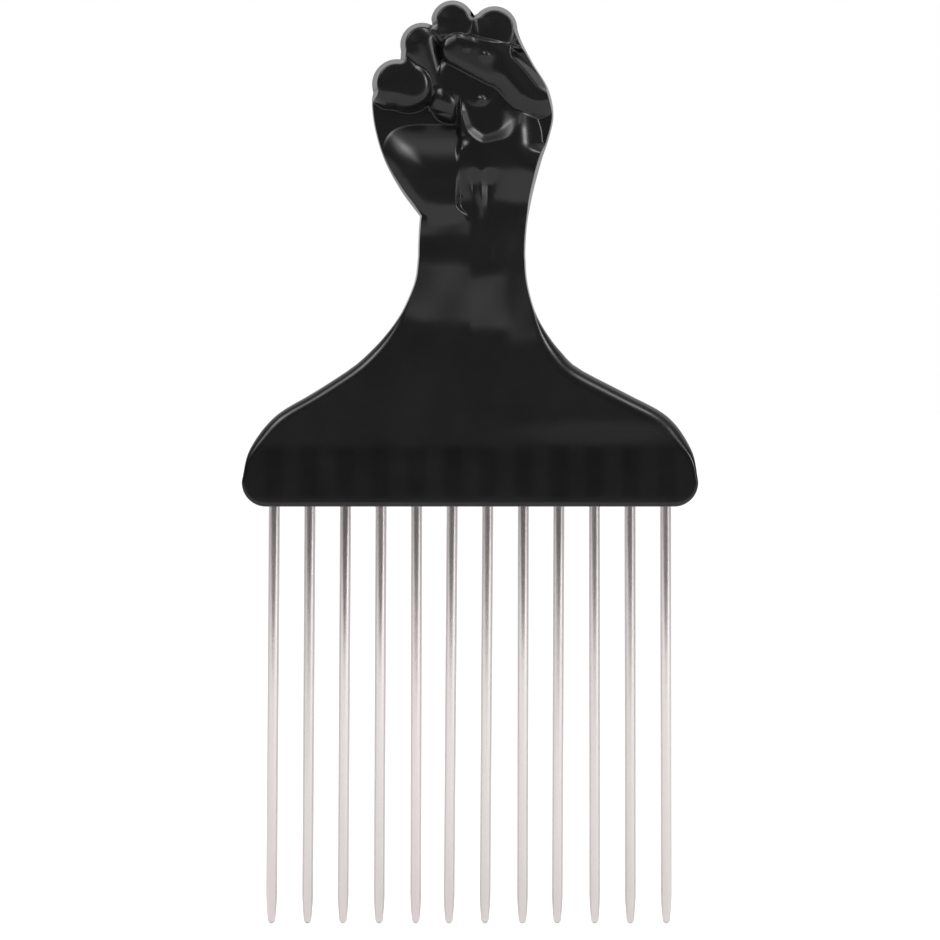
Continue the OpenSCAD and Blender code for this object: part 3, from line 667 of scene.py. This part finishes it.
def ledge(X, Y):
    """Wall of the thumb's first joint above the ledge beside it."""
    inside = np.maximum(-beyond_line(X, Y, LEDGE_PX), 0)
    beside = window(Y, *LEDGE_FADE_PX) * smooth(X, *LEDGE_START_X_PX)
    height, level, tilt = LEDGE_HEIGHT_PX
    return height + tilt * (Y - level) + LEDGE_STEEP * inside + LEDGE_AWAY_PX * (1 - beside)


def palm_forms(X, Y, D):
    """Height of the carved palm side above the parting plane, in pixels."""
    start, slope, width = LITTLE_FALL_PX
    start = start + LITTLE_SLANT * (X - LITTLE_SLANT_X)
    little = limb(X, Y, LITTLE_FINGER_PX) - fall(Y - start, slope, width)
    ring_tip = mound(X, Y, RING_TIP_PX)
    fingers = soft_max([limb(X, Y, row) for row in FINGERS_PX] + [little, ring_tip], FINGER_BLEND_PX)
    thumb = soft_max([limb(X, Y, row) for row in THUMB_PX] + [mound(X, Y, WEB_PX)], FORM_BLEND_PX)
    palm = soft_max([skin(X, Y, D), limb(X, Y, HOLLOW_PX)], FORM_BLEND_PX)
    forms = soft_max([fingers, thumb, palm], FORM_BLEND_PX)
    bumps = sum(height * bell(np.hypot(X - x, Y - y) / width) for x, y, width, height in BUMPS_PX)
    forms = forms + bumps + wrist_tendons(X, Y) - sum(crease(X, Y, row) for row in CREASES_PX)
    return soft_min(cut_channels(X, Y, forms), ledge(X, Y), LEDGE_EDGE_PX)


def drafted_wall(X, Y, D):
    """Wall round the fist and the shoulder above it."""
    palm_side = 1 - smooth(X, *PALM_SIDE_X_PX)
    steep = WALL_STEEP + THUMB_WALL_MORE * smooth(X, *THUMB_WALL_X_PX)
    steep = steep + PALM_WALL_MORE * smooth(Y, *PALM_WALL_START_PX) * palm_side
    steep = steep + WRIST_WALL_MORE * smooth(Y, *WRIST_WALL_START_PX)
    at_wrist = window(Y, *WRIST_SHOULDER_FADE_PX) * smooth(X, *WRIST_SHOULDER_X_PX)
    shoulder = SHOULDER_PX + PALM_SHOULDER_MORE_PX * smooth(Y, *PALM_SHOULDER_START_PX) * palm_side
    shoulder = shoulder + WRIST_SHOULDER_MORE_PX * at_wrist
    shoulder = shoulder + SHOULDER_SLOPE * D + SHOULDER_BEND * D ** 2
    return soft_min(BAND_T / PX + steep * D, shoulder, SHOULDER_BLEND_PX)


def moulded(forms, X, Y, D):
    """Forms with the edge all round: a drafted wall at the fist, and a rounded edge below."""
    fist = soft_min(forms, drafted_wall(X, Y, D), WALL_BLEND_PX)
    to_base = smooth(Y, *NECK_TO_BASE_PX)
    more = 1 + RIGHT_EDGE_MORE * smooth(X, *RIGHT_EDGE_X_PX) * to_base
    r = lerp(NECK_EDGE_PX, EDGE_R / PX, to_base) * more
    r = lerp(r, BOTTOM_EDGE_PX, smooth(Y, *BASE_TO_BOTTOM_PX))
    q = np.clip(1 - D / r, 0, 1)
    rounded = forms - r * (1 - (1 - q ** EDGE_POWER) ** (1 / EDGE_POWER))
    return lerp(fist, rounded, smooth(Y, *FIST_TO_NECK_PX))


def palm_height(X, Y, D):
    return moulded(palm_forms(X, Y, D), X, Y, D)


def back_dome(d, height, crown, squareness):
    """Form of the back of the hand, with its rim where d is 1."""
    dome = (1 - np.clip(d, 0, 1) ** squareness) ** (1 / squareness)
    return np.where(d < 1, BACK_T * (height + crown * dome), 0)


def share_limb(x, z, row):
    start, end, radii, heights, crowns, squareness = row
    t, d = near_segment(x, z, fist_place(*start), fist_place(*end))
    return back_dome(d / (lerp(*radii, t) * FIST_W), lerp(*heights, t), lerp(*crowns, t), squareness)


def share_mound(x, z, row):
    centre, half_length, half_width, turn, height, crown, squareness = row
    middle_x, middle_z = fist_place(*centre)
    along, across = turned((x - middle_x) / FIST_W, (z - middle_z) / FIST_W, turn)
    d = np.hypot(along / half_length, across / half_width)
    return back_dome(d, height, crown, squareness)


def back_height(x, z, X, Y, D):
    """Height of the back of the hand above the parting plane, in pixels."""
    forms = [share_limb(x, z, row) / PX for row in BONE_SHARES]
    forms += [share_mound(x, z, row) / PX for row in HAND_SHARES]
    forms.append(np.interp(Y, *zip(*BACK_FLOOR_PX)))
    return moulded(soft_max(forms, BONE_BLEND_PX), X, Y, D)


def add_mesh(name, points, faces, material):
    mesh = bpy.data.meshes.new(name)
    mesh.from_pydata([tuple(p) for p in points], [], [tuple(f) for f in faces])
    mesh.validate()
    mesh.shade_smooth()
    mesh.set_sharp_from_angle(angle=math.radians(SHARP_ANGLE))
    mesh.materials.append(material)
    piece = bpy.data.objects.new(name, mesh)
    bpy.context.scene.collection.objects.link(piece)
    return piece


def net_index(first, columns, rows):
    """Numbers of a net's points, row by row from its first one."""
    return first + np.arange((columns + 1) * (rows + 1)).reshape(rows + 1, columns + 1)


def net_faces(index, flip):
    """Faces between a net's points, turned over if it is seen from its other side."""
    corners = [index[:-1, :-1], index[:-1, 1:], index[1:, 1:], index[1:, :-1]]
    if flip:
        corners.reverse()
    return list(np.stack(corners, axis=-1).reshape(-1, 4))


def rim_faces(palm_rim, back_rim):
    """Faces between two rims, the first of which has twice as many points."""
    faces = []
    n = len(palm_rim)
    for k in range(0, n, 2):
        a, b, c = palm_rim[k], palm_rim[k + 1], palm_rim[(k + 2) % n]
        d, e = back_rim[k // 2], back_rim[(k // 2 + 1) % len(back_rim)]
        faces.append((b, a, d, e, c))
    return faces


def palm_and_back(grid):
    """Points of the palm side, and of the back on every second row and column."""
    x = grid[:, :, 0]
    z = grid[:, :, 1]
    X = WAIST_PX[0] + x / PX
    Y = WAIST_PX[1] - z / PX
    D = depth_inside(grid) / PX
    palm = np.stack([x, -palm_height(X, Y, D) * PX, z], axis=-1)
    half = (slice(None, None, 2), slice(None, None, 2))
    back_y = back_height(x[half], z[half], X[half], Y[half], D[half]) * PX
    back = np.stack([x[half], back_y, z[half]], axis=-1)
    return palm.reshape(-1, 3), back.reshape(-1, 3)


def make_handle(material):
    palm, back = palm_and_back(plan_grid())
    palm_index = net_index(0, COLUMNS, ROWS)
    back_index = net_index(len(palm), COLUMNS // 2, ROWS // 2)
    faces = net_faces(palm_index, False) + net_faces(back_index, True)
    faces += rim_faces(rim(palm_index), rim(back_index))
    handle = add_mesh("fist_handle", np.vstack([palm, back]), faces, material)
    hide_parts("handle")
    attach(handle, "root")


def tine_profile(radius, low, high):
    """Radius and height of each ring of a tine, from its nose up."""
    nose_r = TIP_D / 2
    turn = np.radians(np.linspace(-90, 0, NOSE_POINTS))[1:]
    nose = np.column_stack([nose_r * np.cos(turn), low + nose_r * (1 + np.sin(turn))])
    t = np.linspace(0, 1, TAPER_POINTS)[1:]
    across = lerp(nose_r, radius, 1 - (1 - t) ** TAPER_POWER)
    taper = np.column_stack([across, lerp(low + nose_r, low + TIP_TAPER, t)])
    shank_z = np.linspace(low + TIP_TAPER, high, SHANK_POINTS)[1:]
    shank = np.column_stack([np.full(len(shank_z), radius), shank_z])
    return np.vstack([nose, taper, shank])


def tine_faces(ring_count):
    """Faces round the rings of a tine and over its two ends, whose points come last."""
    faces = []
    tip = ring_count * TINE_SIDES
    last = tip - TINE_SIDES
    for i in range(TINE_SIDES):
        j = (i + 1) % TINE_SIDES
        for a in range(0, last, TINE_SIDES):
            faces.append((a + i, a + j, a + TINE_SIDES + j, a + TINE_SIDES + i))
        faces.append((tip, j, i))
        faces.append((tip + 1, last + i, last + j))
    return faces


def make_tine(node, lean_px, material):
    """Tine that leans over below the base, its tip by this many pixels."""
    low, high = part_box(node)
    x = (low.x + high.x) / 2
    profile = tine_profile((high.x - low.x) / 2, low.z, high.z)
    turn = np.radians(np.arange(TINE_SIDES) * 360 / TINE_SIDES)
    lean = lean_px * PX / (BOTTOM_Z - low.z)
    points = []
    for r, z in profile:
        middle = x + lean * max(0, BOTTOM_Z - z)
        points.append(np.column_stack([middle + r * np.cos(turn), r * np.sin(turn), np.full(TINE_SIDES, z)]))
    points = np.vstack(points + [[(x + lean_px * PX, 0, low.z)], [(x, 0, high.z)]])
    piece = add_mesh("bright_" + node, points, tine_faces(len(profile)), material)
    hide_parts(node)
    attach(piece, "root")


def new_material(name):
    material = bpy.data.materials.new(name)
    material.use_nodes = True
    tree = material.node_tree
    return material, tree, tree.nodes["Principled BSDF"]


def axes_of(tree, output):
    """X, Y and Z of a place or a direction."""
    place = tree.nodes.new("ShaderNodeTexCoord")
    axes = tree.nodes.new("ShaderNodeSeparateXYZ")
    tree.links.new(place.outputs[output], axes.inputs["Vector"])
    return axes.outputs


def add_noise(tree, scale, detail, stretch=(1, 1, 1)):
    place = tree.nodes.new("ShaderNodeTexCoord")
    mapping = tree.nodes.new("ShaderNodeMapping")
    mapping.inputs["Scale"].default_value = stretch
    noise = tree.nodes.new("ShaderNodeTexNoise")
    noise.inputs["Scale"].default_value = scale
    noise.inputs["Detail"].default_value = detail
    tree.links.new(place.outputs["Object"], mapping.inputs["Vector"])
    tree.links.new(mapping.outputs["Vector"], noise.inputs["Vector"])
    return noise.outputs["Fac"]


def add_range(tree, value, source, target, kind="SMOOTHSTEP"):
    """Value that goes from one range to another."""
    node = tree.nodes.new("ShaderNodeMapRange")
    node.interpolation_type = kind
    for name, number in zip(("From Min", "From Max", "To Min", "To Max"), source + target):
        node.inputs[name].default_value = number
    tree.links.new(value, node.inputs["Value"])
    return node.outputs["Result"]


def add_math(tree, operation, a, b):
    node = tree.nodes.new("ShaderNodeMath")
    node.operation = operation
    for socket, value in zip(node.inputs, (a, b)):
        if isinstance(value, (int, float)):
            socket.default_value = value
        else:
            tree.links.new(value, socket)
    return node.outputs["Value"]


def add_colours(tree, value, colours):
    ramp = tree.nodes.new("ShaderNodeValToRGB")
    for element, colour in zip(ramp.color_ramp.elements, colours):
        element.color = colour
    tree.links.new(value, ramp.inputs["Fac"])
    return ramp.outputs["Color"]


def add_bump(tree, height, strength, distance, normal=None):
    bump = tree.nodes.new("ShaderNodeBump")
    bump.inputs["Strength"].default_value = strength
    bump.inputs["Distance"].default_value = distance
    tree.links.new(height, bump.inputs["Height"])
    if normal is not None:
        tree.links.new(normal, bump.inputs["Normal"])
    return bump.outputs["Normal"]


def seat_marks(tree, x, z):
    """How much darker the plastic is round the seated tines."""
    start = tuple(BOTTOM_Z + height for height in SEAT_START)
    end = tuple(BOTTOM_Z + height for height in SEAT_END)
    band = add_math(tree, "MULTIPLY", add_range(tree, z, end, (1, 0)), add_range(tree, z, start, (0, 1)))
    turns = add_math(tree, "MULTIPLY", x, 2 * math.pi / TINE_PITCH)
    wave = add_math(tree, "COSINE", add_math(tree, "ADD", turns, math.pi), 0)
    return add_math(tree, "MULTIPLY", band, add_range(tree, wave, SEAT_WAVE, SEAT_DARKER))


def painted_reflection_streak(tree, x, z):
    """Painted reflection: how much paler the plastic is painted in an oval streak above the tines."""
    dx = add_math(tree, "DIVIDE", add_math(tree, "SUBTRACT", x, REFLECTION_STREAK_X), REFLECTION_STREAK_HALF_W)
    dz = add_math(tree, "DIVIDE", add_math(tree, "SUBTRACT", z, REFLECTION_STREAK_Z), REFLECTION_STREAK_HALF_H)
    off = add_math(tree, "ADD", add_math(tree, "MULTIPLY", dx, dx), add_math(tree, "MULTIPLY", dz, dz))
    return add_range(tree, off, (0, 1), (REFLECTION_STREAK_PALER, 0))


def seat_bands_and_painted_reflection(tree):
    """Tone of the plastic, 1 away from the darker tine bands and the painted reflection streak."""
    axes = axes_of(tree, "Object")
    tone = add_math(tree, "SUBTRACT", 1, seat_marks(tree, axes["X"], axes["Z"]))
    return add_math(tree, "ADD", tone, painted_reflection_streak(tree, axes["X"], axes["Z"]))


def black_plastic():
    """Glossy black moulding with a faint ripple and slightly uneven polish."""
    material, tree, shader = new_material("gloss_black_plastic")
    tint = add_colours(tree, add_noise(tree, scale=60, detail=3), PLASTIC_COLOURS)
    toned = tree.nodes.new("ShaderNodeVectorMath")
    toned.operation = "SCALE"
    tree.links.new(tint, toned.inputs[0])
    # Base colour scaled by darker bands over the tines and a painted reflection streak.
    tree.links.new(seat_bands_and_painted_reflection(tree), toned.inputs["Scale"])
    tree.links.new(toned.outputs["Vector"], shader.inputs["Base Color"])
    polish = add_noise(tree, scale=140, detail=4)
    roughness = add_range(tree, polish, NOISE_RANGE, PLASTIC_ROUGHNESS, "LINEAR")
    tree.links.new(roughness, shader.inputs["Roughness"])
    wavy = add_bump(tree, add_noise(tree, scale=260, detail=2), strength=0.5, distance=0.02 * MM)
    grain = add_noise(tree, scale=2600, detail=3)
    fine = add_bump(tree, grain, strength=0.25, distance=0.004 * MM, normal=wavy)
    tree.links.new(fine, shader.inputs["Normal"])
    shader.inputs["IOR"].default_value = PLASTIC_IOR
    return material


def bright_nickel():
    """Bright plated steel with faint drawing lines along each tine."""
    material, tree, shader = new_material("bright_nickel_plate")
    tint = add_noise(tree, scale=90, detail=3, stretch=(1, 1, 0.2))
    tree.links.new(add_colours(tree, tint, NICKEL_COLOURS), shader.inputs["Base Color"])
    polish = add_noise(tree, scale=300, detail=4, stretch=(1, 1, 0.08))
    roughness = add_range(tree, polish, NOISE_RANGE, NICKEL_ROUGHNESS, "LINEAR")
    tree.links.new(roughness, shader.inputs["Roughness"])
    lines = add_noise(tree, scale=3200, detail=2, stretch=(1, 1, 0.03))
    drawn = add_bump(tree, lines, strength=0.2, distance=0.004 * MM)
    tree.links.new(drawn, shader.inputs["Normal"])
    shader.inputs["Metallic"].default_value = 1
    return material


def pale_floor():
    """White floor that the camera sees at full white, less the comb's shadow."""
    material, tree, shader = new_material("pale_floor")
    shader.inputs["Base Color"].default_value = FLOOR_COLOUR
    shader.inputs["Roughness"].default_value = 1
    glow = tree.nodes.new("ShaderNodeEmission")
    glow.inputs["Color"].default_value = WHITE
    seen = tree.nodes.new("ShaderNodeLightPath").outputs["Is Camera Ray"]
    tree.links.new(add_math(tree, "MULTIPLY", seen, FLOOR_GLOW), glow.inputs["Strength"])
    both = tree.nodes.new("ShaderNodeAddShader")
    tree.links.new(shader.outputs["BSDF"], both.inputs[0])
    tree.links.new(glow.outputs["Emission"], both.inputs[1])
    tree.links.new(both.outputs["Shader"], tree.nodes["Material Output"].inputs["Surface"])
    return material


def make_floor():
    corners = [
        (-FLOOR_SIDE, -FLOOR_FRONT, FLOOR_Z), (FLOOR_SIDE, -FLOOR_FRONT, FLOOR_Z),
        (FLOOR_SIDE, FLOOR_BACK, FLOOR_Z), (-FLOOR_SIDE, FLOOR_BACK, FLOOR_Z),
    ]
    floor = add_mesh("floor", corners, [(0, 1, 2, 3)], pale_floor())


def make_world():
    """White studio behind the comb and a dim room in front of it, white to the camera."""
    world = bpy.data.worlds.new("studio")
    bpy.context.scene.world = world
    world.use_nodes = True
    tree = world.node_tree
    axes = axes_of(tree, "Generated")
    behind = add_range(tree, axes["Y"], ROOM_BACK_AT, ROOM_BACK)
    above = add_range(tree, axes["Z"], ROOM_TOP_AT, ROOM_TOP)
    room = add_math(tree, "ADD", behind, above)
    path = tree.nodes.new("ShaderNodeLightPath").outputs
    fill = add_math(tree, "MAXIMUM", room, path["Is Camera Ray"])
    diffuse = add_math(tree, "MULTIPLY", path["Is Diffuse Ray"], ROOM_DIFFUSE)
    level = add_math(tree, "MAXIMUM", fill, diffuse)
    background = tree.nodes["Background"]
    background.inputs["Color"].default_value = WHITE
    tree.links.new(add_math(tree, "MINIMUM", level, ROOM_MOST), background.inputs["Strength"])


def add_softbox(name, azimuth, elevation, distance, width, height, radiance):
    """Soft light that faces the middle of the fist."""
    light = bpy.data.lights.new(name, "AREA")
    light.shape = "RECTANGLE"
    light.size = width
    light.size_y = height
    light.energy = radiance * math.pi * width * height
    lamp = bpy.data.objects.new(name, light)
    lamp.visible_camera = False
    az = math.radians(azimuth)
    el = math.radians(elevation)
    direction = Vector((math.sin(az) * math.cos(el), -math.cos(az) * math.cos(el), math.sin(el)))
    lamp.location = direction * distance + Vector((0, 0, FIST_H / 2))
    lamp.rotation_euler = direction.to_track_quat("Z", "Y").to_euler()
    bpy.context.scene.collection.objects.link(lamp)


def make_camera():
    """Camera at the photograph's angle, framed by its width and its middle pixel."""
    camera = bpy.data.cameras.new("camera")
    eye = bpy.data.objects.new("camera", camera)
    across = PHOTO_MIDDLE_PX[0] - WAIST_PX[0]
    up = WAIST_PX[1] - PHOTO_MIDDLE_PX[1]
    eye.location = (0, CAMERA_Y, CAMERA_Z)
    view = Vector((across * PX, 0, up * PX)) - eye.location
    eye.rotation_euler = view.to_track_quat("-Z", "Y").to_euler()
    camera.sensor_width = SENSOR_MM
    camera.lens = SENSOR_MM * view.length / (PHOTO_W_PX * PX)
    camera.clip_start = CAMERA_CLIP
    bpy.context.scene.collection.objects.link(eye)
    bpy.context.scene.camera = eye


bpy.context.scene.view_settings.view_transform = "Standard"
make_world()
make_floor()
for row in SOFTBOXES:
    add_softbox(*row)
make_camera()
make_handle(black_plastic())
nickel = bright_nickel()
for name, lean_px in zip(TINE_NAMES, LEANS_PX):
    make_tine(name, lean_px, nickel)
